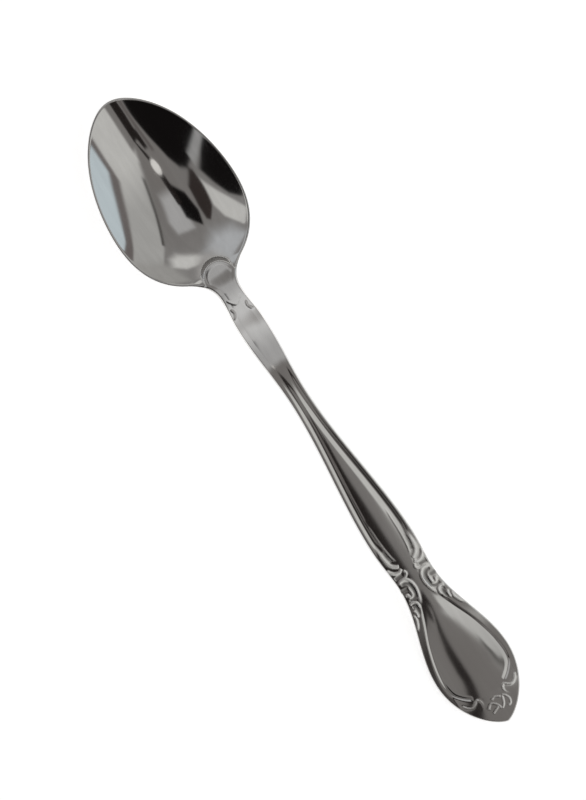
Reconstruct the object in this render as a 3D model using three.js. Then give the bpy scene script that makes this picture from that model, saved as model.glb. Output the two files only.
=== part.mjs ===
// Teaspoon pressed from one blank of stainless steel, lying on a table with its bowl facing up.
// Millimetres, +Z up. +X runs from the tip of the bowl to the end of the handle, +Y across it.
// The origin is on the table, under the middle of the spoon's length.
// The metal is one pressing. It is kept as five zones that meet on flat cross sections.
// Every zone is a loft: a top and a bottom skin that meet in a rounded edge at the plan outline.

import * as THREE from "three";

const { clamp, lerp, smoothstep } = THREE.MathUtils;

// Lengths along the spoon, one after the other from the tip of the bowl
const BOWL_LENGTH = 45; // egg outline of the bowl
const HEEL_LENGTH = 4.5; // end of the egg to the narrowest place of the neck
const CREST_LENGTH = 7.5; // narrowest place to the swelling of the neck
const TAPER_LENGTH = 19.5; // swelling to the slimmest place of the stem
const STEM_LENGTH = 36.9; // slimmest place to the shoulder
const SHOULDER_LENGTH = 9.7; // shoulder to the waist
const FLARE_LENGTH = 22.1; // waist to the widest place of the end
const TIP_LENGTH = 14.8; // widest place to the tip of the handle

// Widths across the spoon
const BOWL_WIDTH = 30.2;
const NECK_WIDTH = 5.36;
const CREST_WIDTH = 6.6;
const STEM_WIDTH = 4.58;
const SHOULDER_WIDTH = 10.22;
const WAIST_WIDTH = 8.92;
const END_WIDTH = 18.3;
const HEEL_BITE = 2; // how far before the egg's end the fillet into the neck begins

// Side view: rise and fall of the edge line
const BOWL_DEPTH = 6.3; // hollow of the bowl, from the edge line to its floor
const RIM_CLIMB = 5.6; // from the tip of the bowl to the narrowest place of the neck
const RIM_BOW = -3; // the rim sinks a quarter of this under the straight line between them
const ARCH_RISE = 4.4; // from the narrowest place of the neck to the highest place of the handle
const ARCH_LENGTH = 19.5;
const TIP_LIFT = 0.45; // the handle's tip turns up a little
const REST_FLAT = 0.05; // depth of the flat on which the handle's end lies

// Metal above and below the edge line
const BOWL_WALL = 1;
const NECK_THICKNESS = 2.5;
const STEM_THICKNESS = 2.2;
const SHOULDER_THICKNESS = 1.9;
const END_THICKNESS = 1.6;
const TIP_THICKNESS = 1.3;
const RIM_ROUNDING = 0.6;
const STEM_ROUNDING = 0.5;
const END_ROUNDING = 0.4;

// Tongue of the neck that runs a little way into the bowl and ends in a round step
const TONGUE_RADIUS = 3.45;
const TONGUE_REACH = 4.3; // centre of its round end, before the narrowest place of the neck
const TONGUE_SLOPE = 0.27;
const TONGUE_BEND = 1.5; // length over which it bends down into the bowl
const TONGUE_STEEPNESS = 3; // how fast its round end falls off
const STEP_FILLET = 0.3;

// Raised panel on the handle, and the bead round it
const BORDER_WIDTH = 0.75; // middle of the bead to the outline along the stem
const SHOULDER_BORDER = 0.85;
const END_BORDER = 0.95;
const PANEL_WAIST = 2.5;
const PANEL_TIP_LENGTH = 8;
const PANEL_SHOULDER_SHIFT = 0.6; // the panel swells a little past the shoulder
const PANEL_WAIST_SHIFT = 1.6; // and is slimmest a little before the waist
const STEM_CROWN = 0.35;
const END_CROWN = 0.75;
const BEAD_HEIGHT = 0.18;
const BEAD_RADIUS = 0.36;
const BEAD_START = 3.2; // from the narrowest place of the neck
const BEAD_RUN_IN = 3; // length over which bead and panel rise out of the neck

// Where the zones meet
const STEM_ZONE_START = 7.5; // past the swelling of the neck
const SCROLL_ZONE_START = 7.4; // before the shoulder
const SCROLL_ZONE_END = 6; // past the waist

// Shape numbers without a unit
const EGG = [0.981, 0.176, 0.104, 0.033, -0.122]; // fullness of the bowl along its length
const BAND_SHARE = 0.8; // place of the close section points in the open bowl
const TIP_LONG_POWER = 2.03; // superellipse of the handle's tip
const TIP_CROSS_POWER = 1.4;
const PANEL_LONG_POWER = 2.2; // superellipse of the panel's end
const PANEL_CROSS_POWER = 1.6;
const STEEPEST = 2; // most that a steep wall is thickened, measured straight up
const FLOOR_STEPS = 400; // places along the bowl where its lowest one is looked for

// Stations: distance from the tip of the bowl
const NECK = BOWL_LENGTH + HEEL_LENGTH;
const CREST = NECK + CREST_LENGTH;
const SLIM = CREST + TAPER_LENGTH;
const SHOULDER = SLIM + STEM_LENGTH;
const WAIST = SHOULDER + SHOULDER_LENGTH;
const WIDEST = WAIST + FLARE_LENGTH;
const SPOON_LENGTH = WIDEST + TIP_LENGTH;
const ARCH = NECK + ARCH_LENGTH;
const tongueCentre = NECK - TONGUE_REACH;
const tongueZone = tongueCentre - 2 * TONGUE_RADIUS;

// A value that eases from station to station and is level at each of them
function eased(stations) {
  return (s) => {
    const last = stations.length - 1;
    if (s <= stations[0][0]) return stations[0][1];
    if (s >= stations[last][0]) return stations[last][1];
    const i = stations.findIndex(([at]) => at > s);
    const [from, to] = [stations[i - 1], stations[i]];
    return lerp(from[1], to[1], smoothstep(s, from[0], to[0]));
  };
}

// The cubic that leaves one station with a slope and arrives level at the next
function levelling(from, to, slope) {
  const length = to[0] - from[0];
  return (s) => {
    const u = (s - from[0]) / length;
    const start = (1 + 2 * u) * (1 - u) ** 2;
    return start * from[1] + u * (1 - u) ** 2 * length * slope + (1 - start) * to[1];
  };
}

function derivative(f, s, step = 0.01) {
  return (f(s + step) - f(s - step)) / (2 * step);
}

// The larger of two heights, with a fillet where they cross
function filletMax(a, b, fillet) {
  return (a + b + Math.hypot(a - b, fillet)) / 2;
}

// Plan outline: half the width of the spoon at a station
function eggHalfWidth(s) {
  const xi = (2 * s) / BOWL_LENGTH - 1;
  const fullness = EGG.reduce((sum, c, power) => sum + c * xi ** power, 0);
  return (BOWL_WIDTH / 2) * Math.sqrt(Math.max(0, 1 - xi * xi)) * fullness;
}

const heelStart = BOWL_LENGTH - HEEL_BITE;
const heelHalfWidth = levelling(
  [heelStart, eggHalfWidth(heelStart)],
  [NECK, NECK_WIDTH / 2],
  derivative(eggHalfWidth, heelStart),
);

const handleHalfWidth = eased([
  [NECK, NECK_WIDTH / 2],
  [CREST, CREST_WIDTH / 2],
  [SLIM, STEM_WIDTH / 2],
  [SHOULDER, SHOULDER_WIDTH / 2],
  [WAIST, WAIST_WIDTH / 2],
  [WIDEST, END_WIDTH / 2],
]);

function superellipse(u, longPower, crossPower) {
  return Math.max(0, 1 - clamp(u, 0, 1) ** longPower) ** (1 / crossPower);
}

function halfWidth(s) {
  if (s <= heelStart) return eggHalfWidth(s);
  if (s < NECK) return heelHalfWidth(s);
  const tip = superellipse((s - WIDEST) / TIP_LENGTH, TIP_LONG_POWER, TIP_CROSS_POWER);
  return handleHalfWidth(s) * tip;
}

// How far a point lies inside the outline, measured square to it
function inset(s, y) {
  const gap = Math.max(0, halfWidth(s) ** 2 - y * y);
  const slope = derivative((at) => halfWidth(clamp(at, 0, SPOON_LENGTH)) ** 2, s);
  return gap / Math.max(1e-9, Math.hypot(slope, 2 * y));
}

// Depth of the hollow under the edge line: it goes with the square of the width, so that the wall
// is about equally steep all round the rim, and it runs out in the neck
function hollowDepth(s) {
  const runOut = 1 - smoothstep(s, heelStart, NECK);
  return BOWL_DEPTH * runOut * (halfWidth(s) / (BOWL_WIDTH / 2)) ** 2;
}

// Side view: the rim is a parabola from the tip to the neck
function rimRise(s) {
  const u = s / NECK;
  return RIM_CLIMB * u + RIM_BOW * u * (1 - u);
}

// The bowl is set down on the table: the lowest place of its floor lies half a wall above it
const floorDrop = Math.max(...steps(0, NECK, FLOOR_STEPS).map((s) => hollowDepth(s) - rimRise(s)));
const tipRimHeight = BOWL_WALL / 2 + floorDrop;
const neckHeight = tipRimHeight + RIM_CLIMB;
const archHeight = neckHeight + ARCH_RISE;

// The edge line rises to the arch, falls to the table and turns up at the tip
const neckRise = levelling([NECK, neckHeight], [ARCH, archHeight], derivative(rimRise, NECK));
const archFall = eased([
  [ARCH, archHeight],
  [WIDEST, END_THICKNESS / 2 - REST_FLAT],
  [SPOON_LENGTH, END_THICKNESS / 2 + TIP_LIFT],
]);

function edgeHeight(s) {
  if (s < NECK) return tipRimHeight + rimRise(s);
  return s < ARCH ? neckRise(s) : archFall(s);
}

// Middle surface: each cross section is a parabola from edge to edge through the hollow's floor
function middleHeight(s, y) {
  const share = y / Math.max(1e-9, halfWidth(s));
  return edgeHeight(s) - hollowDepth(s) * (1 - share * share);
}

// The edge is roundest round the bowl and crispest round the handle's end
const edgeRounding = eased([
  [BOWL_LENGTH, RIM_ROUNDING],
  [CREST, STEM_ROUNDING],
  [SHOULDER, STEM_ROUNDING],
  [WAIST, END_ROUNDING],
]);

// Share of the full thickness that is left inside the rounded edge
function edgeShare(s, y) {
  return Math.sqrt(1 - clamp(1 - inset(s, y) / edgeRounding(s), 0, 1) ** 2);
}

const bodyThickness = eased([
  [heelStart, BOWL_WALL],
  [NECK, NECK_THICKNESS],
  [SLIM, STEM_THICKNESS],
  [SHOULDER, SHOULDER_THICKNESS],
  [WIDEST, END_THICKNESS],
  [SPOON_LENGTH, TIP_THICKNESS],
]);

// A wall of even thickness is taller, measured straight up, where the surface is steep
function steepness(s, y) {
  const along = derivative((at) => middleHeight(clamp(at, 0, SPOON_LENGTH), y), s);
  const across = derivative((at) => middleHeight(s, at), y);
  return Math.min(STEEPEST, Math.hypot(1, along, across));
}

// Half the width of the raised panel on the handle
const panelFlank = eased([
  [CREST, CREST_WIDTH / 2 - BORDER_WIDTH],
  [SLIM, STEM_WIDTH / 2 - BORDER_WIDTH],
  [SHOULDER + PANEL_SHOULDER_SHIFT, SHOULDER_WIDTH / 2 - SHOULDER_BORDER],
  [WAIST - PANEL_WAIST_SHIFT, PANEL_WAIST / 2],
  [WIDEST, END_WIDTH / 2 - END_BORDER],
]);

function panelHalfWidth(s) {
  const u = (s - WIDEST) / PANEL_TIP_LENGTH;
  return panelFlank(s) * superellipse(u, PANEL_LONG_POWER, PANEL_CROSS_POWER);
}

const panelCrown = eased([
  [SLIM, STEM_CROWN],
  [SHOULDER, STEM_CROWN],
  [WIDEST, END_CROWN],
  [WIDEST + PANEL_TIP_LENGTH, 0],
]);

// Relief of the handle: a crowned panel with a bead along its edge
function relief(s, y) {
  const half = panelHalfWidth(s);
  const runIn = smoothstep(s, NECK + BEAD_START, NECK + BEAD_START + BEAD_RUN_IN);
  if (runIn === 0 || half === 0) return 0;
  const inside = (half - Math.abs(y)) / Math.hypot(1, derivative(panelHalfWidth, s));
  const crown = panelCrown(s) * Math.max(0, 1 - (y / half) ** 2);
  return runIn * (crown + BEAD_HEIGHT * Math.exp(-((inside / BEAD_RADIUS) ** 2)));
}

// Top of the handle, which carries on into the bowl as the round-ended tongue
function handleTop(s, y, share) {
  const ahead = Math.max(0, NECK - s);
  const dip = TONGUE_SLOPE * (Math.hypot(ahead, TONGUE_BEND) - TONGUE_BEND);
  const before = Math.max(0, tongueCentre - s);
  const beyond = Math.max(0, Math.hypot(before, y) - TONGUE_RADIUS);
  const fall = before > 0 ? TONGUE_STEEPNESS * beyond ** 2 : 0;
  const rise = (bodyThickness(Math.max(s, NECK)) / 2 + relief(s, y) - dip) * share;
  return edgeHeight(s) + rise - fall;
}

function topHeight(s, y) {
  const share = edgeShare(s, y);
  const wall = middleHeight(s, y) + (BOWL_WALL / 2) * steepness(s, y) * share;
  return filletMax(wall, handleTop(s, y, share), STEP_FILLET * share);
}

function bottomHeight(s, y) {
  const below = (bodyThickness(s) / 2) * steepness(s, y) * edgeShare(s, y);
  return Math.max(0, middleHeight(s, y) - below);
}

// Band of closely set section points: beside the tongue in the bowl, along the bead on the handle
function bandPlace(s) {
  const half = halfWidth(s);
  const open = BAND_SHARE * half;
  const atTongue = lerp(open, Math.min(open, TONGUE_RADIUS), smoothstep(s, tongueZone, tongueCentre));
  if (s < NECK) return atTongue;
  return lerp(open, panelFlank(s) * (half / handleHalfWidth(s)), smoothstep(s, NECK, CREST));
}

// Places across a section, from the middle to the edge, closely set at the band and the edge
function sectionStops(s) {
  const half = halfWidth(s);
  const band = bandPlace(s);
  const narrow = Math.min(1, (2 * half) / NECK_WIDTH);
  const border = half - band;
  const fine = Math.min(BEAD_RADIUS * narrow, border / 3);
  const lip = Math.min(edgeRounding(s) * narrow, border);
  const inner = band - 1.5 * fine;
  const outer = band + fine;
  const brim = half - lip / 2;
  return [
    ...[0, 0.25, 0.5, 0.75, 1].map((share) => share * inner),
    band - 0.75 * fine,
    band,
    outer,
    (outer + brim) / 2,
    brim,
    half - lip / 6,
    half,
  ];
}

// One closed section: across the top from left to right, and back along the bottom
function sectionRing(s) {
  const stops = sectionStops(s);
  const across = [...stops.slice(1).reverse().map((y) => -y), ...stops];
  const edge = across.length - 1;
  const onEdge = (i) => i === 0 || i === edge;
  const top = across.map((y, i) => [s, y, onEdge(i) ? middleHeight(s, y) : topHeight(s, y)]);
  const bottom = across.slice(1, edge).map((y) => [s, y, bottomHeight(s, y)]);
  return [...top, ...bottom.reverse()];
}

// Loft through sections at the given stations, with a point at a tip and a flat face at a cut
function loft(stations) {
  const rings = stations.map((s) => (halfWidth(s) > 1e-6 ? sectionRing(s) : [[s, 0, edgeHeight(s)]]));
  const starts = rings.map((_, i) => rings.slice(0, i).reduce((sum, ring) => sum + ring.length, 0));
  const triangles = [];
  const quad = (a, b, c, d) => triangles.push([a, b, c], [a, c, d]);
  for (let i = 0; i + 1 < rings.length; i++) {
    const [here, next] = [rings[i].length, rings[i + 1].length];
    const count = Math.max(here, next);
    const vertex = (row, length, j) => starts[row] + (j % length);
    for (let j = 0; j < count; j++) {
      const [a, b] = [vertex(i, here, j), vertex(i, here, j + 1)];
      const [c, d] = [vertex(i + 1, next, j + 1), vertex(i + 1, next, j)];
      if (here === 1) triangles.push([a, d, c]);
      else if (next === 1) triangles.push([a, d, b]);
      else quad(a, d, c, b);
    }
  }
  const cap = (row, flip) => {
    const count = rings[row].length;
    if (count === 1) return;
    const face = [];
    for (let j = 0; j < count / 2; j++) {
      const [a, b] = [j, j + 1].map((k) => starts[row] + k);
      const [c, d] = [count - j - 1, count - j].map((k) => starts[row] + (k % count));
      if (a !== d) face.push([a, b, d]);
      if (b !== c) face.push([b, c, d]);
    }
    triangles.push(...(flip ? face.map(([a, b, c]) => [a, c, b]) : face));
  };
  cap(0, false);
  cap(rings.length - 1, true);
  const geometry = new THREE.BufferGeometry();
  geometry.setAttribute("position", new THREE.Float32BufferAttribute(rings.flat(2), 3));
  geometry.setIndex(triangles.flat());
  geometry.computeVertexNormals();
  return geometry;
}

// Stations of a zone: evenly spaced, or drawn together towards a round tip
function steps(from, to, count, spacing = (u) => u) {
  return Array.from({ length: count + 1 }, (_, i) => lerp(from, to, spacing(i / count)));
}
const towardsStart = (u) => 1 - Math.cos((u * Math.PI) / 2);
const towardsEnd = (u) => Math.sin((u * Math.PI) / 2);

const stemZone = CREST + STEM_ZONE_START;
const scrollZone = SHOULDER - SCROLL_ZONE_START;
const endZone = WAIST + SCROLL_ZONE_END;

const zones = {
  bowl: [...steps(0, tongueZone, 22, towardsStart), ...steps(tongueZone, NECK, 24).slice(1)],
  neck: steps(NECK, stemZone, 10),
  stem: steps(stemZone, scrollZone, 18),
  scroll_shoulder: steps(scrollZone, endZone, 22),
  handle_end: [
    ...steps(endZone, WIDEST, 14),
    ...steps(WIDEST, SPOON_LENGTH, 16, towardsEnd).slice(1),
  ],
};

const steel = new THREE.MeshStandardMaterial({ color: 0xc8c6c3, metalness: 1, roughness: 0.12 });

const spoon = new THREE.Group();
spoon.name = "spoon";
const lying = new THREE.Group();
lying.position.x = -SPOON_LENGTH / 2;
spoon.add(lying);
for (const [name, stations] of Object.entries(zones)) {
  const zone = new THREE.Mesh(loft(stations), steel);
  zone.name = name;
  lying.add(zone);
}

export default spoon;
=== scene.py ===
"""Looks of a teaspoon that is pressed from one blank of stainless steel and mirror polished.

The spoon's skin is one surface: at every station along its length a closed ring of points runs across
the top and back along the bottom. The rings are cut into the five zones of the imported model, so each
zone's piece meets its neighbours point for point, with the normals of the whole skin.
Shape sizes are millimetres, measured from the tip of the bowl. Meshes, lights and camera are in metres.
"""

import math

import bpy
import numpy as np
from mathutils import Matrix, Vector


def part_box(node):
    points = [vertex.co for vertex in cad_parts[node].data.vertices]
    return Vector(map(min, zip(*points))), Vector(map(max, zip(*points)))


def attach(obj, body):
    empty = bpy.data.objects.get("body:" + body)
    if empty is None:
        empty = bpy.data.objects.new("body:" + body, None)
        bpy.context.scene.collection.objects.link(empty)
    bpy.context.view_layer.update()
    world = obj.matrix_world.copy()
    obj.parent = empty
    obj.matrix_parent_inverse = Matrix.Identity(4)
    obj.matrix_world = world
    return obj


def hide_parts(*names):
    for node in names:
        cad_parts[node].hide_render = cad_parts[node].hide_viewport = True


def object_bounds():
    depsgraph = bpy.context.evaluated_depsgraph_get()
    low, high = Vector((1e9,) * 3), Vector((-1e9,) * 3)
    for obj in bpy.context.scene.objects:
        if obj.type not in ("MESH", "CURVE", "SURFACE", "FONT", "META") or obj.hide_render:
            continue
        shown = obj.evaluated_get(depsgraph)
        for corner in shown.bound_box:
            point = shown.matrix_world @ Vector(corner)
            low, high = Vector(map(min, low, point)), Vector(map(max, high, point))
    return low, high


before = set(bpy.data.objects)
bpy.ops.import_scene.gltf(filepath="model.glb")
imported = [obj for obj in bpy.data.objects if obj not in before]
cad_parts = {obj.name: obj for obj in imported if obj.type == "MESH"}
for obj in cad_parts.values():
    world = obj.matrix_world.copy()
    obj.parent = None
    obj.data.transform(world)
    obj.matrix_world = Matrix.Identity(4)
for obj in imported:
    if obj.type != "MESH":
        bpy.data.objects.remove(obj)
cad_low, cad_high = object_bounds()

MM = 0.001
LENGTH = (cad_high.x - cad_low.x) / MM

# Lengths along the spoon, one after the other from the tip of the bowl
BOWL_LENGTH = 45
HEEL_LENGTH = 4.5
CREST_LENGTH = 7.5
TAPER_LENGTH = 19.5
STEM_LENGTH = 36.9
SHOULDER_LENGTH = 9.7
FLARE_LENGTH = 22.1
ARCH_LENGTH = 19.5
HEEL_BITE = 2

NECK = BOWL_LENGTH + HEEL_LENGTH
CREST = NECK + CREST_LENGTH
SLIM = CREST + TAPER_LENGTH
SHOULDER = SLIM + STEM_LENGTH
WAIST = SHOULDER + SHOULDER_LENGTH
WIDEST = WAIST + FLARE_LENGTH
ARCH = NECK + ARCH_LENGTH

# Widths across the spoon
BOWL_WIDTH = 30.2
NECK_WIDTH = 5.36
CREST_WIDTH = 6.6
STEM_WIDTH = 4.58
SHOULDER_WIDTH = 10.22
WAIST_WIDTH = 8.92
END_WIDTH = 18.3
EGG_FULLNESS = (0.981, 0.176, 0.104, 0.033, -0.122)
TIP_LONG_POWER = 2.03
TIP_CROSS_POWER = 1.4

# Side view and thickness
BOWL_DEPTH = 6.3
RIM_CLIMB = 5.6
RIM_BOW = -3
ARCH_RISE = 4.4
TIP_LIFT = 0.45
REST_FLAT = 0.05
BOWL_WALL = 1
NECK_THICKNESS = 2.5
STEM_THICKNESS = 2.2
SHOULDER_THICKNESS = 1.9
END_THICKNESS = 1.6
TIP_THICKNESS = 1.3
RIM_ROUNDING = 0.6
STEM_ROUNDING = 0.4
END_ROUNDING = 0.3

# Tongue of the neck on the heel of the bowl
TONGUE_RADIUS = 3.45
TONGUE_CENTRE = NECK - 4.3
TONGUE_SLOPE = 0.34
TONGUE_BEND = 4
TONGUE_STEEPNESS = 3
STEP_FILLET = 0.3

# Relief of the handle: a panel that is part of a wide barrel, a groove along its edge and a border outside
BARREL_RADIUS = 37
HANDLE_CROWN = 0.3
NECK_SWELL = 0.08
STEM_BORDER = 1.45
STEM_GROOVE = 0.1
STEM_SIDES = (0.7, 0.42)
END_GROOVE = 0.12
END_SIDES = (1.5, 0.3)
TIP_GROOVE = 0.09
TIP_SIDE = 0.36
BORDER_SLOPE = 0.065
FLARE_SLOPE = 0.025
LIP_SLOPE = 0.06
TIP_CROWN = 0.5
# Stroke height at which the painted highlight on a stroke, or the darker steel in a hollow, is full
FULL_PAINT_HEIGHT = 0.065
HANDLE_WEAR = 0.06

# Points on each half of a ring: across the top, across the bottom and round the edge
TOP_COLUMNS = 80
BOTTOM_COLUMNS = 30
EDGE_COLUMNS = 10

# Tables along the spoon: their steps, and how widely each is blurred
TABLE_STEPS = 6400
OUTLINE_BLUR = 1.0
HOLLOW_BLUR = 0.5
EDGE_BLUR = 1.5
THICKNESS_BLUR = 1.0
PANEL_BLUR = 0.8
BELL_REACH = 3
TINY = 1e-9

S = np.linspace(0, LENGTH, TABLE_STEPS + 1)


def blurred(table, softness):
    """The table averaged by a bell curve of the given width; its ends carry on straight, not level."""
    if softness == 0:
        return table
    step = S[1] - S[0]
    reach = int(BELL_REACH * softness / step)
    bell = np.exp(-0.5 * (np.arange(-reach, reach + 1) * step / softness) ** 2)
    before = 2 * table[0] - table[reach:0:-1]
    after = 2 * table[-1] - table[-2:-reach - 2:-1]
    return np.convolve(np.concatenate([before, table, after]), bell / bell.sum(), "valid")


def eased(stations, softness=0.0):
    """Table that goes from station to station by 3uu - 2uuu, level at each, then blurred."""
    at, value = np.array(stations, float).T
    i = np.clip(np.searchsorted(at, S, side="right") - 1, 0, len(at) - 2)
    u = np.clip((S - at[i]) / (at[i + 1] - at[i]), 0, 1)
    return blurred(value[i] + (value[i + 1] - value[i]) * u * u * (3 - 2 * u), softness)


def levelling(s, start, end, slope):
    """Cubic from the start with a slope to the end, where it is level."""
    length = end[0] - start[0]
    u = (s - start[0]) / length
    share = (1 + 2 * u) * (1 - u) ** 2
    return share * start[1] + u * (1 - u) ** 2 * length * slope + (1 - share) * end[1]


def read(table, s):
    """Value of a table at any stations."""
    return np.interp(s, S, table)


def slope_of(table):
    """Table of another table's slope."""
    return np.gradient(table, S)


def smooth_step(s, low, high):
    """0 below low, 1 above high, 3uu - 2uuu between."""
    u = np.clip((s - low) / (high - low), 0, 1)
    return u * u * (3 - 2 * u)


def fillet_max(a, b, fillet):
    """The larger of two heights, rounded where they cross: half of a + b + hypot(a - b, fillet)."""
    return (a + b + np.hypot(a - b, fillet)) / 2


def superellipse(u, long_power, cross_power):
    """(1 - u^long)^(1/cross), which closes a round end."""
    return np.clip(1 - np.clip(u, 0, 1) ** long_power, 0, None) ** (1 / cross_power)


def egg_half_width(s):
    """Half width of the bowl: a half ellipse times a fullness that varies along it."""
    xi = 2 * s / BOWL_LENGTH - 1
    fullness = np.polynomial.polynomial.polyval(xi, EGG_FULLNESS)
    return BOWL_WIDTH / 2 * np.sqrt(np.clip(1 - xi ** 2, 0, None)) * fullness


def outline(step=0.01):
    """Half width of the spoon: egg, fillet into the neck, eased handle, superellipse tip."""
    widths = [(NECK, NECK_WIDTH / 2), (CREST, CREST_WIDTH / 2), (SLIM, STEM_WIDTH / 2),
              (SHOULDER, SHOULDER_WIDTH / 2), (WAIST, WAIST_WIDTH / 2), (WIDEST, END_WIDTH / 2)]
    handle = eased(widths, OUTLINE_BLUR)
    handle = handle * superellipse((S - WIDEST) / (LENGTH - WIDEST), TIP_LONG_POWER, TIP_CROSS_POWER)
    heel = BOWL_LENGTH - HEEL_BITE
    dive = (egg_half_width(heel + step) - egg_half_width(heel - step)) / (2 * step)
    fillet = levelling(S, (heel, egg_half_width(heel)), (NECK, read(handle, NECK)), dive)
    return np.where(S < heel, egg_half_width(S), np.where(S < NECK, fillet, handle))


HALF_WIDTH = outline()
SQUARED_SLOPE = slope_of(HALF_WIDTH ** 2)


def hollow_depth():
    """Depth of the bowl under its edge: it goes with the square of the width and runs out in the neck."""
    run_out = 1 - smooth_step(S, BOWL_LENGTH - HEEL_BITE, NECK)
    return BOWL_DEPTH * run_out * (HALF_WIDTH / (BOWL_WIDTH / 2)) ** 2


HOLLOW = blurred(hollow_depth(), HOLLOW_BLUR)


def edge_line():
    """Height of the edge: a parabola round the bowl, a cubic up the neck, an eased fall to the table."""
    u = S / NECK
    rim = RIM_CLIMB * u + RIM_BOW * u * (1 - u)
    rim = rim + BOWL_WALL / 2 + (HOLLOW - rim)[S < NECK].max()
    neck = read(rim, NECK)
    rise = levelling(S, (NECK, neck), (ARCH, neck + ARCH_RISE), (RIM_CLIMB - RIM_BOW) / NECK)
    rest = END_THICKNESS / 2
    fall = eased([(ARCH, neck + ARCH_RISE), (WIDEST, rest - REST_FLAT), (LENGTH, rest + TIP_LIFT)])
    return blurred(np.where(S < NECK, rim, np.where(S < ARCH, rise, fall)), EDGE_BLUR)


EDGE = edge_line()
THICKNESS = eased([(BOWL_LENGTH - HEEL_BITE, BOWL_WALL), (NECK, NECK_THICKNESS), (SLIM, STEM_THICKNESS),
                   (SHOULDER, SHOULDER_THICKNESS), (WIDEST, END_THICKNESS), (LENGTH, TIP_THICKNESS)],
                  THICKNESS_BLUR)
NECK_UP = np.where(S < NECK, read(THICKNESS, NECK), THICKNESS)
ROUNDING = eased([(BOWL_LENGTH, RIM_ROUNDING), (CREST, STEM_ROUNDING), (SHOULDER, STEM_ROUNDING),
                  (WAIST, END_ROUNDING)], THICKNESS_BLUR)


# The skin without its ornament

# Limits: half widths from the middle up to which the middle surface rises, and how much taller a wall gets
FARTHEST = 2
STEEPEST = 2


def middle_height(s, y):
    """Each cross section is a parabola from edge to edge through the floor of the hollow."""
    share = y / np.maximum(TINY, read(HALF_WIDTH, s))
    return read(EDGE, s) - read(HOLLOW, s) * (1 - np.minimum(share ** 2, FARTHEST ** 2))


def steepness(s, y, step=0.02):
    """How much taller a wall of even thickness is, measured straight up: hypot(1, slopes)."""
    back, ahead = np.clip(s - step, 0, None), np.clip(s + step, None, LENGTH)
    along = (middle_height(ahead, y) - middle_height(back, y)) / (ahead - back)
    across = (middle_height(s, y + step) - middle_height(s, y - step)) / (2 * step)
    return np.minimum(STEEPEST, np.sqrt(1 + along ** 2 + across ** 2))


def edge_share(s, y):
    """Quarter circle that takes the thickness to nothing at the outline: sqrt(1 - (1 - d/r)^2)."""
    gap = np.clip(read(HALF_WIDTH, s) ** 2 - y ** 2, 0, None)
    inset = gap / np.maximum(TINY, np.hypot(read(SQUARED_SLOPE, s), 2 * y))
    return np.sqrt(1 - np.clip(1 - inset / read(ROUNDING, s), 0, 1) ** 2)


def handle_top(s, y, share, relief):
    """Top of the handle; ahead of the neck it bends down and ends in the round step of the tongue."""
    ahead = np.clip(NECK - s, 0, None)
    dip = TONGUE_SLOPE * (np.hypot(ahead, TONGUE_BEND) - TONGUE_BEND)
    before = np.clip(TONGUE_CENTRE - s, 0, None)
    beyond = np.clip(np.hypot(before, y) - TONGUE_RADIUS, 0, None)
    fall = np.where(before > 0, TONGUE_STEEPNESS * beyond ** 2, 0)
    return read(EDGE, s) + (read(NECK_UP, s) / 2 + relief - dip) * share - fall


def top_height(s, y, relief):
    """Inside of the bowl or top of the handle, whichever is higher."""
    share = edge_share(s, y)
    wall = middle_height(s, y) + BOWL_WALL / 2 * steepness(s, y) * share
    return fillet_max(wall, handle_top(s, y, share, relief), STEP_FILLET * share)


def bottom_height(s, y):
    """Outside of the bowl and back of the handle, never below the table."""
    below = read(THICKNESS, s) / 2 * steepness(s, y) * edge_share(s, y)
    return np.maximum(0, middle_height(s, y) - below)


# Ornament

# Strokes: how many radii a bell reaches, the faint line on the tongue, and the petals
STROKE_REACH = 3
NOSE_TURN = 100
NOSE_INSET = 0.75
PETAL_RADIUS = 0.2
PETAL_HEIGHT = 0.06
PETAL_FADE = (0.06, 0.06)

# Edge of the panel, from the waist. Along the flank it gives a half width, round the tip a drawn groove.
FLANK_END = FLARE_LENGTH + 1
ROUND_START = FLARE_LENGTH - 6
ROUND_FADE = (0.6, 0.05)
PANEL_LINE = [(-16, 2.92), (-13.8, 2.62), (-10.6, 2.55), (-6.9, 2.2), (-4.5, 1.45), (-2, 1.08), (0, 1.02),
              (2.9, 1.35), (5.8, 2.3), (10, 3.94), (13.2, 5.3), (16.5, 6.35), (19.7, 7.1), (22.6, 7.45),
              (24.6, 7.3), (26, 6.85), (27.4, 5.7), (28.4, 4.45), (28.75, 3.85)]


def spline(points, steps=12):
    """Smooth curve through the points (Catmull-Rom), with the given steps between two points."""
    p = np.array(points, float)
    p = np.concatenate([[2 * p[0] - p[1]], p, [2 * p[-1] - p[-2]]])
    u = (np.arange(steps) / steps)[None, :, None]
    a, b, c, d = (p[i:len(p) - 3 + i, None] for i in range(4))
    bend = (2 * a - 5 * b + 4 * c - d) * u ** 2 + (3 * b - a - 3 * c + d) * u ** 3
    curve = (b + ((c - a) * u + bend) / 2).reshape(-1, 2)
    return np.concatenate([curve, p[-2:-1]])


def panel_edge():
    """Half width of the panel: a set way inside the outline on the stem, then a drawn line."""
    line = spline(placed(WAIST, [point for point in PANEL_LINE if point[0] <= FLANK_END]))
    drawn = np.interp(S, line[:, 0], line[:, 1])
    join = WAIST + PANEL_LINE[0][0]
    border = eased([(SLIM, STEM_BORDER), (join, read(HALF_WIDTH, join) - PANEL_LINE[0][1])])
    return blurred(np.where(S < join, HALF_WIDTH - border, drawn), PANEL_BLUR)


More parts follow.
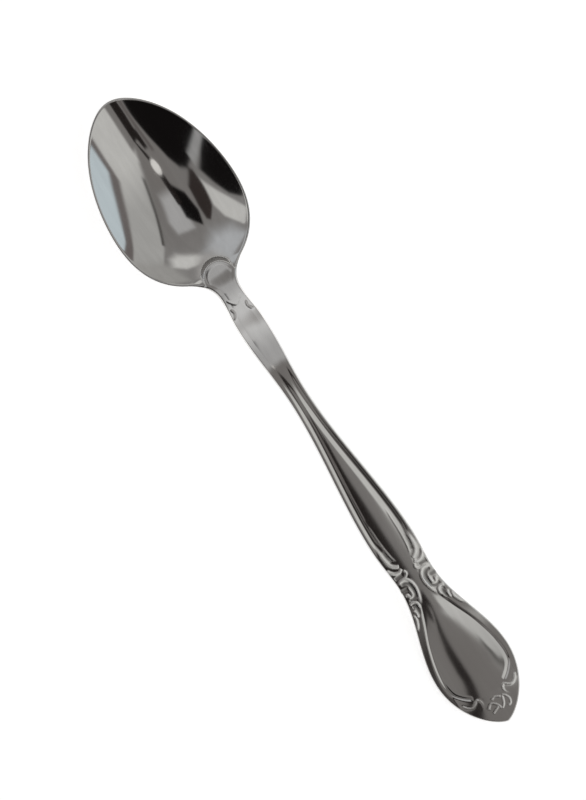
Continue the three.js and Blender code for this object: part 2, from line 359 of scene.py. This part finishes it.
def near_curve(s, y, curve, reach):
    """Distance of each grid point from a curve, and where along it the nearest place lies (0 to 1)."""
    distance = np.full(s.shape, np.inf)
    place = np.zeros(s.shape)
    low, high = curve.min(0) - reach, curve.max(0) + reach
    close = (s > low[0]) & (s < high[0]) & (y > low[1]) & (y < high[1])
    points = np.stack([s[close], y[close]], 1)
    best = np.full(len(points), np.inf)
    where = np.zeros(len(points))
    run = np.concatenate([[0], np.cumsum(np.hypot(*np.diff(curve, axis=0).T))])
    for i in range(len(curve) - 1):
        leg = curve[i + 1] - curve[i]
        t = np.clip((points - curve[i]) @ leg / (leg @ leg), 0, 1)
        away = np.hypot(*(points - curve[i] - t[:, None] * leg).T)
        nearer = away < best
        best = np.where(nearer, away, best)
        where = np.where(nearer, run[i] + t * (run[i + 1] - run[i]), where)
    distance[close] = best
    place[close] = where / run[-1]
    return distance, place


def stroke(s, y, points, radius, height, fade=(0.0, 0.0)):
    """A bead (or a groove, where the height is negative): a bell across the curve, faded at its ends."""
    distance, place = near_curve(s, y, spline(points), STROKE_REACH * radius)
    start = smooth_step(place, 0, fade[0]) if fade[0] else 1
    end = smooth_step(1 - place, 0, fade[1]) if fade[1] else 1
    return height * np.exp(-(distance / radius) ** 2) * start * end


def placed(station, points):
    """Points given from a station."""
    return np.array(points, float) + (station, 0)


PANEL = panel_edge()
PANEL_SLOPE = slope_of(PANEL)
LIFT = eased([(NECK + 3, 0), (CREST + 4, HANDLE_CROWN), (SHOULDER, HANDLE_CROWN), (WIDEST, 0)])
SWELL = eased([(NECK - 6, 0), (NECK, NECK_SWELL), (CREST, NECK_SWELL), (CREST + 8, 0)])
# Painted highlight: the neck's steel is painted lighter from just before the neck to past the crest
PAINTED_NECK_HIGHLIGHT = eased([(NECK - 2, 0), (NECK + 3, 1), (CREST, 1), (CREST + 8, 0)])
FALL = eased([(SHOULDER, 0), (WAIST - 5, BORDER_SLOPE), (WAIST + 3, BORDER_SLOPE), (WAIST + 8, FLARE_SLOPE),
              (WAIST + 16, LIP_SLOPE)])
CROWN = eased([(WIDEST + 1, 1), (LENGTH - 3, TIP_CROWN)])
GROOVE_LINE = np.where(S < WAIST - 3, HALF_WIDTH - STEM_BORDER, PANEL)
GROOVE = eased([(CREST + 8.5, 0), (SLIM + 1.5, STEM_GROOVE), (WAIST - 12, STEM_GROOVE), (WAIST - 6, 0),
                (WAIST + 2, 0), (WAIST + 10, END_GROOVE), (WIDEST - 2, END_GROOVE), (WIDEST + 4, 0)])
GROOVE_SIDES = [eased([(WAIST, stem), (WAIST + 12, end)]) for stem, end in zip(STEM_SIDES, END_SIDES)]


def panel_relief(s, side):
    """Height of the panel (part of a barrel), less the fall of the border outside and the groove.

    The groove is a bell across its line, with one width on the panel's side and another on the outer side.
    """
    edge = read(PANEL, s)
    barrel = np.clip(np.minimum(edge, read(HALF_WIDTH, s)) ** 2 - side ** 2, 0, None)
    barrel = barrel * read(CROWN, s) / (2 * BARREL_RADIUS)
    lean = np.hypot(1, read(PANEL_SLOPE, s))
    fall = read(FALL, s) * np.clip(side - edge, 0, None) / lean
    across = (side - read(GROOVE_LINE, s)) / lean
    inner, outer = (read(width, s) for width in GROOVE_SIDES)
    groove = read(GROOVE, s) * np.exp(-(across / np.where(across < 0, inner, outer)) ** 2)
    round_tip = placed(WAIST, [point for point in PANEL_LINE if point[0] > ROUND_START])
    return barrel - fall - groove - stroke(s, side, round_tip, TIP_SIDE, TIP_GROOVE, ROUND_FADE)


def strokes():
    """Raised lines on both sides of tongue, neck and handle: (points, radius, height, fades)."""
    turn = np.radians(np.linspace(0, NOSE_TURN, 9))
    nose = placed(TONGUE_CENTRE, np.stack([-np.cos(turn), np.sin(turn)], 1) * (TONGUE_RADIUS - NOSE_INSET))
    waist = [
        ([(-12.5, 3.72), (-9.5, 3.78), (-6.5, 3.65), (-5.3, 3.2), (-4.55, 2.4), (-4.2, 1.75)],
         0.34, 0.08, (0.6, 0.03)),
        ([(-5.2, 4.6), (-4.2, 4.2), (-3.4, 3.4), (-3.15, 2.4), (-3.58, 1.6)], 0.28, 0.09, (0.2, 0.05)),
        ([(-3.1, 1.56), (-2.38, 1.2), (-1.8, 1.5), (-1.5, 2.2), (-1.9, 3.4)], 0.22, 0.07, (0.1, 0.4)),
        ([(-0.7, 4.09), (-1.25, 3.3), (-1.25, 2.3), (-0.46, 1.56), (0.75, 1.22), (2.43, 1.32), (5.8, 2.3)],
         0.3, 0.1, (0.1, 0.3)),
        ([(0.5, 2.65), (1.7, 2.5), (2.55, 2.62), (2.85, 3.1), (2.4, 3.5), (1.95, 3.6), (2.1, 4.3)],
         0.25, 0.09, (0.15, 0.1)),
        ([(4.2, 4.45), (4.0, 3.6), (4.35, 2.95), (5.07, 2.72), (6.04, 2.9)], 0.25, 0.1, (0.1, 0.3)),
        ([(5.5, 4.45), (6.3, 4.1), (7.6, 4.25)], 0.22, 0.1, (0.2, 0.3)),
        ([(6.2, 5.0), (7.4, 4.85), (8.6, 5.25), (10.2, 6.15)], 0.24, 0.1, (0.2, 0.4)),
    ]
    hook = [(-8.5, 7.0), (-7.1, 6.05), (-6.65, 5.05), (-7.0, 4.2), (-7.5, 3.55), (-7.05, 2.9), (-6.1, 2.8),
            (-5.2, 3.35), (-4.7, 4.1)]
    beside = [(-18, 2.75), (-13.8, 2.62), (-10.6, 2.55), (-6.9, 2.2), (-5.2, 1.7)]
    neck = [
        ([(0.7, 1.75), (1.8, 1.1), (2.5, 0.4), (2.65, 0)], 0.2, 0.03, (0.3, 0)),
        ([(2.76, 1.95), (3.95, 1.62), (4.93, 2.06), (5.25, 2.7)], 0.22, 0.08, (0.2, 0.3)),
    ]
    return [
        (nose, 0.2, 0.03, (0, 0.2)),
        (placed(LENGTH, hook), 0.22, 0.06, (0.1, 0.5)),
        (placed(WAIST, beside), 0.22, 0.03, (0.3, 0.1)),
        *[(placed(WAIST, points), *rest) for points, *rest in waist],
        *[(placed(NECK, points), *rest) for points, *rest in neck],
    ]


def hollows():
    """Sunk places beside the strokes, the same on both sides: (points, radius, height below 0, fades)."""
    waist = [
        ([(-9.5, 3.1), (-7.5, 3.0), (-5.8, 2.5)], 0.36, -0.05, (0.4, 0.1)),
        ([(-2.3, 4.1), (-2.35, 3), (-2.4, 2.1)], 0.34, -0.08, (0.1, 0.1)),
        ([(-0.35, 3.8), (-0.45, 2.9), (0.1, 2.1), (1.5, 1.85), (2.9, 2.05), (3.4, 3.0), (3.3, 4.1)],
         0.36, -0.08, (0.1, 0.1)),
        ([(0.8, 3.2), (0.75, 4.2)], 0.42, -0.08, (0, 0)),
        ([(4.95, 4.2), (5.1, 3.5), (6.0, 3.45), (7.4, 3.6)], 0.3, -0.07, (0.1, 0.4)),
    ]
    return [(placed(WAIST, points), *rest) for points, *rest in waist]


def rosette():
    """Petals of the small flower near the tip, each an arc, lying across the middle line."""
    petals = [
        [(-5.69, 1.73), (-5.26, 2.38), (-4.18, 2.81), (-3.2, 2.49), (-2.88, 1.73)],
        [(-5.6, 1.73), (-4.61, 1.51), (-3.74, 1.08), (-3.09, 0.3)],
        [(-5.5, 1.4), (-6.02, 0.65), (-6.12, 0), (-5.8, -0.76)],
        [(-3.09, 0.3), (-4.18, 0), (-5.04, -0.65), (-5.26, -1.3), (-4.83, -1.95), (-4.29, -2.38)],
        [(-3.95, -0.1), (-3.53, -1.08), (-3.09, -1.95)],
    ]
    return [(placed(LENGTH, petal), PETAL_RADIUS, PETAL_HEIGHT, PETAL_FADE) for petal in petals]


def relief_and_marks(s, y):
    """Height of the ornament over the plain handle, and two marks for each point.

    The first mark is painted tone: 1 for a painted highlight on a stroke or on the neck, -1 for darker steel
    in a hollow. The second is the wear of the relief, from 0 on plain steel to 1 on a stroke or in a hollow.
    """
    side = np.abs(y)
    panel = panel_relief(s, side)
    share = np.minimum(1, side / np.maximum(TINY, read(HALF_WIDTH, s)))
    swell = read(LIFT, s) + read(SWELL, s) * (1 - share ** 2)
    raised = np.zeros(s.shape)
    for points, radius, height, fade in strokes():
        raised = np.maximum(raised, stroke(s, side, points, radius, height, fade))
    for points, radius, height, fade in rosette():
        raised = np.maximum(raised, stroke(s, y, points, radius, height, fade))
    sunk = np.zeros(s.shape)
    for points, radius, height, fade in hollows():
        sunk = np.minimum(sunk, stroke(s, side, points, radius, height, fade))
    # Painted tone: a painted highlight on strokes and on the neck, darker steel in hollows
    mark = (raised + sunk) / FULL_PAINT_HEIGHT
    painted_highlight_and_hollow = np.clip(mark + read(PAINTED_NECK_HIGHLIGHT, s), -1, 1)
    wear = np.clip(np.abs(mark) + HANDLE_WEAR * smooth_step(s, CREST, SLIM), 0, 1)
    return panel + swell + raised + sunk, np.stack([painted_highlight_and_hollow, wear], 2)


# The skin as rings of points

def spaced(start, end, count, towards=None):
    """Stations from start to end without the last, evenly set or drawn together towards a round tip."""
    u = np.arange(count) / count
    if towards == "start":
        u = 1 - np.cos(u * np.pi / 2)
    if towards == "end":
        u = np.sin(u * np.pi / 2)
    return start + (end - start) * u


def cut(node):
    """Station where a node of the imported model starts."""
    return (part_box(node)[0].x - cad_low.x) / MM


# Stations of the rows of points, which lie closest at the two tips, the scrolls and the handle's end
ROUND_TIP = 8
HEEL_ROWS = 38
END_TIP = 152
ZONES = ["bowl", "neck", "stem", "scroll_shoulder", "handle_end"]
CUTS = [cut(node) for node in ZONES]
ROWS = {
    "bowl": np.concatenate([spaced(0, ROUND_TIP, 36, "start"), spaced(ROUND_TIP, HEEL_ROWS, 75),
                            spaced(HEEL_ROWS, CUTS[1], 60)]),
    "neck": spaced(CUTS[1], CUTS[2], 80),
    "stem": spaced(CUTS[2], CUTS[3], 130),
    "scroll_shoulder": spaced(CUTS[3], CUTS[4], 200),
    "handle_end": np.concatenate([spaced(CUTS[4], END_TIP, 190), spaced(END_TIP, LENGTH, 60, "end")]),
}


def half_ring(s, columns):
    """Places from the middle to the edge: even, then by equal angles round the edge's quarter circle."""
    half = read(HALF_WIDTH, s)[:, None]
    lean = read(SQUARED_SLOPE, s)[:, None] / np.maximum(2 * half, 1e-6)
    rim = np.minimum(read(ROUNDING, s)[:, None] * np.hypot(1, lean), half / 2)
    flat = (half - rim) * (np.arange(columns) / columns)
    angle = np.arange(EDGE_COLUMNS + 1) / EDGE_COLUMNS * np.pi / 2
    return np.concatenate([flat, half - rim * (1 - np.sin(angle))], 1)


def skin():
    """Rings of points (row, point, xyz) in metres, with the marks of each point, for the whole spoon."""
    s = np.concatenate([ROWS[zone] for zone in ZONES] + [[LENGTH]])
    right = half_ring(s, TOP_COLUMNS)
    y = np.concatenate([-right[:, :0:-1], right], 1)
    along = np.broadcast_to(s[:, None], y.shape)
    relief, marks = relief_and_marks(along, y)
    z = top_height(along, y, relief)
    z[:, 0] = middle_height(s, y[:, 0])
    z[:, -1] = middle_height(s, y[:, -1])
    low = half_ring(s, BOTTOM_COLUMNS)[:, :-1]
    under_y = np.concatenate([low[:, ::-1], -low[:, 1:]], 1)
    under_along = np.broadcast_to(s[:, None], under_y.shape)
    under_z = bottom_height(under_along, under_y)
    ring_y = np.concatenate([y, under_y], 1)
    ring_z = np.concatenate([z, under_z], 1)
    ring_x = np.broadcast_to(s[:, None], ring_y.shape) + cad_low.x / MM
    ring_marks = np.concatenate([marks, np.zeros((*under_y.shape, 2))], 1)
    return np.stack([ring_x, ring_y, ring_z], 2) * MM, ring_marks


def ring_normals(rings):
    """Normal at each point: the cross product of the steps to its neighbours along and round the skin."""
    along = np.gradient(rings, axis=0)
    around = np.roll(rings, -1, 1) - np.roll(rings, 1, 1)
    normal = np.cross(along, around)
    return normal / np.maximum(np.linalg.norm(normal, axis=2, keepdims=True), 1e-12)


# Meshes

def cap(ring, pole):
    """Faces that close the start of a tube: a fan to a point, or one flat face."""
    if pole is None:
        return [ring.tolist()]
    return np.stack([np.full(len(ring), pole), ring, np.roll(ring, -1)], 1).tolist()


def zone_piece(name, rings, normals, marks, material):
    """One zone as a closed mesh: the rings joined by quads, with a flat cap or a point at each end."""
    count = rings.shape[1]
    pointed = [np.ptp(rings[end], axis=0).max() < TINY for end in (0, -1)]
    keep = slice(1 if pointed[0] else 0, -1 if pointed[1] else None)
    body = rings[keep].reshape(-1, 3)
    index = np.arange(len(body)).reshape(-1, count)
    here, after = index[:-1], index[1:]
    quads = np.stack([here, after, np.roll(after, -1, 1), np.roll(here, -1, 1)], 2).reshape(-1, 4)
    poles = [None, None]
    tips = []
    for end in (0, 1):
        if pointed[end]:
            poles[end] = len(body) + len(tips)
            tips.append(rings[-end, 0])
    start, finish = cap(index[0], poles[0]), cap(index[-1, ::-1], poles[1])
    points = np.concatenate([body, np.array(tips).reshape(-1, 3)])
    mesh = bpy.data.meshes.new(name)
    mesh.from_pydata(points, [], [*quads.tolist(), *start, *finish])
    # Each point keeps its painted tone (painted highlight, darker hollows) and its wear
    for i, mark in enumerate(("painted_highlight_and_hollow", "wear")):
        values = np.append(marks[keep, :, i].ravel(), [0.0] * len(tips))
        layer = mesh.attributes.new(mark, "FLOAT", "POINT")
        layer.data.foreach_set("value", values.astype(np.float32))
    mesh.materials.append(material)
    mesh.polygons.foreach_set("use_smooth", np.ones(len(mesh.polygons), bool))
    corner = np.empty(len(mesh.loops), np.int32)
    mesh.loops.foreach_get("vertex_index", corner)
    tip_normals = np.array([(-1.0, 0, 0), (1.0, 0, 0)])[[end for end in (0, 1) if pointed[end]]]
    split = np.concatenate([normals[keep].reshape(-1, 3), tip_normals])[corner]
    flat = len(quads) * 4
    if not pointed[0]:
        split[flat:flat + count] = (-1, 0, 0)
    if not pointed[1]:
        split[-count:] = (1, 0, 0)
    mesh.normals_split_custom_set(split)
    mesh.update()
    piece = bpy.data.objects.new(name, mesh)
    bpy.context.scene.collection.objects.link(piece)
    return piece


# Materials

STEEL = (0.6, 0.591, 0.58)
# Painted highlight: lighter steel on raised lines and on the neck
PAINTED_HIGHLIGHT_STEEL = (0.92, 0.91, 0.895)
# Darker steel in the hollows
SUNK_STEEL = (0.36, 0.35, 0.34)
NOISE_RANGE = (0.3, 0.7)
STREAKS = (40, 700, 700)
STREAK_DEPTH = 0.08
CLOUDS = (60, 90, 90)
GLOSS = (0.05, 0.1)
RELIEF_DULLNESS = 0.36
WAVES = (50, 220, 220)
WAVE_HEIGHT = 6e-6
PAPER = (0.9, 0.9, 0.9, 1)
PAPER_GLOW = (0.72, 0.72, 0.72, 1)


def node_tree(material):
    """The material's node tree, emptied, with its output."""
    material.use_nodes = True
    tree = material.node_tree
    tree.nodes.clear()
    return tree, tree.nodes.new("ShaderNodeOutputMaterial")


def noise(tree, scale, detail=2.0):
    """Soft noise on the piece's own coordinates, with a scale along each axis in waves per metre."""
    place = tree.nodes.new("ShaderNodeTexCoord")
    stretch = tree.nodes.new("ShaderNodeMapping")
    stretch.inputs["Scale"].default_value = scale
    tree.links.new(place.outputs["Object"], stretch.inputs["Vector"])
    waves = tree.nodes.new("ShaderNodeTexNoise")
    waves.inputs["Scale"].default_value = 1
    waves.inputs["Detail"].default_value = detail
    tree.links.new(stretch.outputs["Vector"], waves.inputs["Vector"])
    return waves.outputs["Fac"]


def ranged(tree, value, old, new):
    """A value taken from one range to another."""
    change = tree.nodes.new("ShaderNodeMapRange")
    for name, limit in zip(("From Min", "From Max", "To Min", "To Max"), (*old, *new)):
        change.inputs[name].default_value = limit
    tree.links.new(value, change.inputs["Value"])
    return change.outputs["Result"]


def combined(tree, operation, a, b):
    """Two values put together by a sum or as the larger of them."""
    both = tree.nodes.new("ShaderNodeMath")
    both.operation = operation
    tree.links.new(a, both.inputs[0])
    tree.links.new(b, both.inputs[1])
    return both.outputs[0]


def painted(tree, name):
    """Node that reads values kept on the points of a mesh."""
    node = tree.nodes.new("ShaderNodeAttribute")
    node.attribute_name = name
    return node


def polished_steel():
    """Mirror-polished steel: faint lengthwise streaks, cloudy gloss, a slight wave, duller in the relief,
    painted lighter as a highlight on raised lines and the neck, and darker in hollows.
    """
    material = bpy.data.materials.new("polished_steel")
    tree, output = node_tree(material)
    nodes, links = tree.nodes, tree.links
    shader = nodes.new("ShaderNodeBsdfPrincipled")
    shader.inputs["Metallic"].default_value = 1.0
    painted_highlight_and_hollow = painted(tree, "painted_highlight_and_hollow").outputs["Fac"]
    wear = painted(tree, "wear").outputs["Fac"]
    streaks = ranged(tree, noise(tree, STREAKS), NOISE_RANGE, (-STREAK_DEPTH, STREAK_DEPTH))
    # Tone from the painted mark and random streaks: darker steel in hollows, plain steel, lighter steel as a
    # painted highlight
    tone = ranged(tree, combined(tree, "ADD", painted_highlight_and_hollow, streaks), (-1, 1), (0, 1))
    colour = nodes.new("ShaderNodeValToRGB")
    colour.color_ramp.elements[0].color = (*SUNK_STEEL, 1)
    colour.color_ramp.elements[1].color = (*PAINTED_HIGHLIGHT_STEEL, 1)
    colour.color_ramp.elements.new(0.5).color = (*STEEL, 1)
    links.new(tone, colour.inputs["Fac"])
    links.new(colour.outputs["Color"], shader.inputs["Base Color"])
    gloss = ranged(tree, noise(tree, CLOUDS), NOISE_RANGE, GLOSS)
    relief = ranged(tree, wear, (0, 1), (0, RELIEF_DULLNESS))
    links.new(combined(tree, "ADD", gloss, relief), shader.inputs["Roughness"])
    wave = nodes.new("ShaderNodeBump")
    wave.inputs["Strength"].default_value = 1
    wave.inputs["Distance"].default_value = WAVE_HEIGHT
    links.new(noise(tree, WAVES, 0), wave.inputs["Height"])
    links.new(wave.outputs["Normal"], shader.inputs["Normal"])
    links.new(shader.outputs["BSDF"], output.inputs["Surface"])
    return material


def glowing(name):
    """Material that only gives off light, with the node that sets its colour and strength."""
    material = bpy.data.materials.new(name)
    tree, output = node_tree(material)
    light = tree.nodes.new("ShaderNodeEmission")
    tree.links.new(light.outputs["Emission"], output.inputs["Surface"])
    return material, light


def shown_rays(tree):
    """1 for rays that show a surface: straight from the camera, mirrored or through glass."""
    path = tree.nodes.new("ShaderNodeLightPath")
    camera_ray, mirrored, through_glass = (
        path.outputs[ray] for ray in ("Is Camera Ray", "Is Glossy Ray", "Is Transmission Ray"))
    return combined(tree, "MAXIMUM", combined(tree, "MAXIMUM", camera_ray, mirrored), through_glass)


def pale_floor():
    """White paper: takes the shadow, and glows a little where it is seen, so that it reads as white."""
    material = bpy.data.materials.new("pale_floor")
    tree, output = node_tree(material)
    paper = tree.nodes.new("ShaderNodeBsdfDiffuse")
    paper.inputs["Color"].default_value = PAPER
    glow = tree.nodes.new("ShaderNodeEmission")
    tree.links.new(shown_rays(tree), glow.inputs["Strength"])
    glow.inputs["Color"].default_value = PAPER_GLOW
    both = tree.nodes.new("ShaderNodeAddShader")
    tree.links.new(paper.outputs["BSDF"], both.inputs[0])
    tree.links.new(glow.outputs["Emission"], both.inputs[1])
    tree.links.new(both.outputs["Shader"], output.inputs["Surface"])
    return material


# Stage

# Floor, tent and lamp in metres; the tent's rows and columns and the lamp's corners in degrees
FLOOR_SIZE = 30
TENT_RADIUS = 1.6
TENT_ROWS = np.linspace(0.25, 89.5, 120)
TENT_COLUMNS = np.arange(0, 360, 0.75)
LAMP_AT = (-0.032, -0.029, 0.2)
LAMP_RADII = (0.0142, 0.0158)
LAMP_CORNERS = np.arange(0, 360, 15)
LAMP_COLOUR = (1, 0.98, 0.95, 1)


def stage_piece(name, points, faces, material):
    """A piece of the studio."""
    mesh = bpy.data.meshes.new(name)
    mesh.from_pydata(points, [], faces)
    mesh.materials.append(material)
    piece = bpy.data.objects.new(name, mesh)
    bpy.context.scene.collection.objects.link(piece)
    return piece


# Tones of the tent's cloth: straight overhead, what is added towards the floor, and how the walls get dimmer
CLOTH = (0.235, 0.222, 0.213)
CLOTH_GAIN = (0.08, 0.085, 0.09)
DIM_END = 0.72
DIM_RANGE = (-0.2, 0.35)
PALE = (0.74, 0.74, 0.72)
COOL = (0.72, 0.82, 0.87)
BLACK = (0.008, 0.007, 0.007)
BROWN = (0.045, 0.036, 0.034)
DARK = (0.022, 0.018, 0.017)
SILL = (0.2, 0.18, 0.175)

# Walls and panels of the tent, seen flat from the spoon: corners one unit overhead, softness, panel's colour
WALLS = [
    ([(0.24, 0.13), (6, 0.12), (6, 3.2), (0.29, 0.93)], 0.04),
    ([(0.32, 0.08), (0.35, 5), (-5, 6.5), (-2.6, 2.4), (-1.1, 1.1)], 0.06),
]
PANELS = [
    ([(-1.9, 1.9), (-2.4, 6.5), (-9, 9), (-9, 3.2), (-2.6, 1.7)], 0.5, (0.46, 0.455, 0.44)),
    ([(0.08, 0.24), (0.1, 0.29), (-0.9, 1.02), (-0.95, 0.95)], 0.03, (0.09, 0.085, 0.08)),
    ([(1, 1.05), (2.6, 5.5), (-2.4, 5.5), (-1, 2.9), (-0.22, 1.6), (0.2, 0.93)], 0.06, SILL),
    ([(0.95, 1.3), (2.6, 5.5), (-1.6, 5.5), (-0.8, 3.3), (0.08, 1.6), (0.36, 1.14)], 0.06, COOL),
    ([(-1.5, 0.9), (-1.7, 1.3), (-2.5, 1.7), (-3.3, 1.3), (-3.4, 0.5), (-2.6, 0.15), (-2.0, 0.35)], 0.25,
     (0.8, 0.8, 0.78)),
    ([(-1.5, -0.6), (-2.2, -0.1), (-8, -0.3), (-8, -6), (-2.2, -1.7)], 0.5, (0.6, 0.62, 0.64)),
    ([(-0.12, -0.14), (-0.12, 0.18), (-0.45, 0.34), (-0.75, 0.32), (-0.8, 0.05), (-0.83, -0.17)], 0.07,
     (0.54, 0.54, 0.54)),
    ([(-2.6, -0.3), (-2.6, 0.3), (-9, 2.5), (-9, -2)], 0.6, (0.5, 0.49, 0.48)),
    ([(-0.05, -0.95), (-0.1, -1.05), (-0.35, -1.08), (-0.72, -1.0), (-0.98, -0.72), (-0.85, -0.6),
      (-0.5, -0.56), (-0.2, -0.6)], 0.04, BROWN),
    ([(-0.93, -0.42), (-0.52, -0.1), (-0.14, -0.14), (-0.08, -0.22), (-0.22, -0.42), (-0.55, -0.5)], 0.03,
     BLACK),
    ([(-0.15, -1.33), (-0.5, -1.72), (-1.1, -2.5), (-2.4, -4.8), (-2.6, -9), (0.5, -9), (0.2, -3)], 0.06,
     BLACK),
    ([(9, -0.6), (0.9, -0.3), (0.62, -0.36), (0.38, -0.44), (0.13, -0.56), (0, -0.7), (-0.05, -0.9),
      (0, -1.25), (0.55, -4), (1.7, -9), (9, -9)], 0.03, BLACK),
    ([(-0.08, -1.25), (0.07, -1.25), (0.85, -6), (0.5, -6)], 0.05, (0.42, 0.42, 0.42)),
    ([(-0.2, -1.12), (-0.75, -1.08), (-1.4, -1.45), (-5, -4.6), (-3.8, -5.8), (-1.15, -2.3)], 0.06, PALE),
    ([(0.75, -0.25), (0.75, -0.31), (0.5, -0.345), (0.25, -0.36), (0.25, -0.29), (0.5, -0.265)], 0.02,
     (0.17, 0.155, 0.15)),
    ([(0.3, -0.16), (0.44, -0.13), (0.5, -0.2), (0.5, -0.25), (0.3, -0.25)], 0.02, DARK),
    ([(0.4, -0.035), (0.9, -0.03), (0.9, -0.22), (0.62, -0.24), (0.42, -0.2)], 0.012, DARK),
    ([(0.43, -0.035), (0.12, -0.1), (0.12, -0.19), (0.25, -0.135), (0.43, -0.05)], 0.012, DARK),
    ([(0.14, -0.095), (-0.3, -0.1), (-0.3, -0.215), (0.02, -0.21), (0.14, -0.185)], 0.012, DARK),
    ([(1, 0.1), (1, -0.5), (1.3, -1), (4, -1.5), (4, 0.1)], 0.06, PALE),
]


def inside(places, corners, softness):
    """1 inside a convex outline, 0 outside, eased over its edge: the least distance from any side decides."""
    corners = np.array(corners, float)
    sides = np.roll(corners, -1, 0) - corners
    inward = np.stack([-sides[:, 1], sides[:, 0]], 1) / np.hypot(*sides.T)[:, None]
    turning = np.sign(np.cross(sides, np.roll(corners, -2, 0) - corners).sum())
    depth = ((places[..., None, :] - corners) * inward * turning).sum(-1).min(-1)
    return smooth_step(depth, -softness, softness)


def tent_colours(outward):
    """Grey cloth, lighter towards the floor, with the walls, dimmer at one end, and the panels over it."""
    height = outward[..., 2:]
    places = outward[..., :2] / np.maximum(height, 0.01)
    polar = np.degrees(np.arccos(np.clip(height, -1, 1)))
    colours = np.array(CLOTH) + np.array(CLOTH_GAIN) * polar / 90
    light = DIM_END + (1 - DIM_END) * smooth_step(places[..., :1], *DIM_RANGE)
    cloths = [(corners, softness, np.array(PALE) * light) for corners, softness in WALLS]
    cloths += [(corners, softness, np.array(colour)) for corners, softness, colour in PANELS]
    for corners, softness, colour in cloths:
        colours = colours + inside(places, corners, softness)[..., None] * (colour - colours)
    return colours


def tent():
    """Half sphere of cloth over the set, so that the steel has a calm surround to mirror."""
    polar = np.radians(TENT_ROWS)[:, None]
    azimuth = np.radians(TENT_COLUMNS)[None, :]
    outward = np.stack([np.sin(polar) * np.cos(azimuth), np.sin(polar) * np.sin(azimuth),
                        np.cos(polar) * np.ones(azimuth.shape)], 2)
    rows, count = outward.shape[:2]
    index = np.arange(rows * count).reshape(rows, count)
    faces = np.stack([index[:-1], np.roll(index[:-1], -1, 1), np.roll(index[1:], -1, 1), index[1:]], 2)
    faces = [*faces.reshape(-1, 4).tolist(), index[0].tolist()]
    cloth, light = glowing("tent")
    paint = painted(cloth.node_tree, "paint")
    cloth.node_tree.links.new(paint.outputs["Color"], light.inputs["Color"])
    piece = stage_piece("tent", (TENT_RADIUS * outward).reshape(-1, 3), faces, cloth)
    layer = piece.data.attributes.new("paint", "FLOAT_COLOR", "POINT")
    colours = np.concatenate([tent_colours(outward), np.ones((rows, count, 1))], 2)
    layer.data.foreach_set("color", colours.ravel().astype(np.float32))
    piece.visible_camera = False


def lamp():
    """Oval panel of light over the bowl, out of the picture."""
    turn = np.radians(LAMP_CORNERS)
    along, across = LAMP_RADII
    rim = np.stack([along * np.cos(turn), across * np.sin(turn), np.zeros(len(turn))], 1)
    shine, light = glowing("lamp")
    light.inputs["Color"].default_value = LAMP_COLOUR
    piece = stage_piece("lamp", rim + LAMP_AT, [range(len(rim))], shine)
    piece.visible_camera = False


def studio():
    """Pale floor, white surround, tent with its panels, and a lamp over the bowl."""
    half = FLOOR_SIZE / 2
    stage_piece("floor", [(-half, -half, 0), (half, -half, 0), (half, half, 0), (-half, half, 0)],
                [(0, 1, 2, 3)], pale_floor())
    tent()
    lamp()
    world = bpy.data.worlds.new("surround")
    bpy.context.scene.world = world
    world.use_nodes = True
    background = world.node_tree.nodes["Background"]
    background.inputs["Color"].default_value = (1, 1, 1, 1)
    background.inputs["Strength"].default_value = 1


# Camera: straight above the spoon, turned as the spoon lies in the picture

PICTURE = (586, 800)
SENSOR = 36
TURN = 56.97
SCALE = 0.21642 * MM
CAMERA_HEIGHT = 2.5
CAMERA_AT = (-3.915 * MM, -1.317 * MM)
SEEN_LEVEL = 8 * MM


def camera():
    """Long lens from above, so that widths and lengths keep their proportions."""
    data = bpy.data.cameras.new("camera")
    data.sensor_width = SENSOR
    data.lens = SENSOR * (CAMERA_HEIGHT - SEEN_LEVEL) / (PICTURE[1] * SCALE)
    seen = bpy.data.objects.new("camera", data)
    seen.location = (*CAMERA_AT, CAMERA_HEIGHT)
    seen.rotation_euler = (0, 0, math.radians(TURN))
    bpy.context.scene.collection.objects.link(seen)
    bpy.context.scene.camera = seen


# The whole picture

def spoon():
    """The five zones of the skin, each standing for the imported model's zone of the same name."""
    rings, marks = skin()
    normals = ring_normals(rings)
    steel = polished_steel()
    first = 0
    for zone in ZONES:
        last = first + len(ROWS[zone])
        rows = slice(first, last + 1)
        piece = zone_piece(zone + "_skin", rings[rows], normals[rows], marks[rows], steel)
        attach(piece, "root")
        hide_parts(zone)
        first = last


bpy.context.scene.view_settings.view_transform = "Standard"
camera()
studio()
spoon()
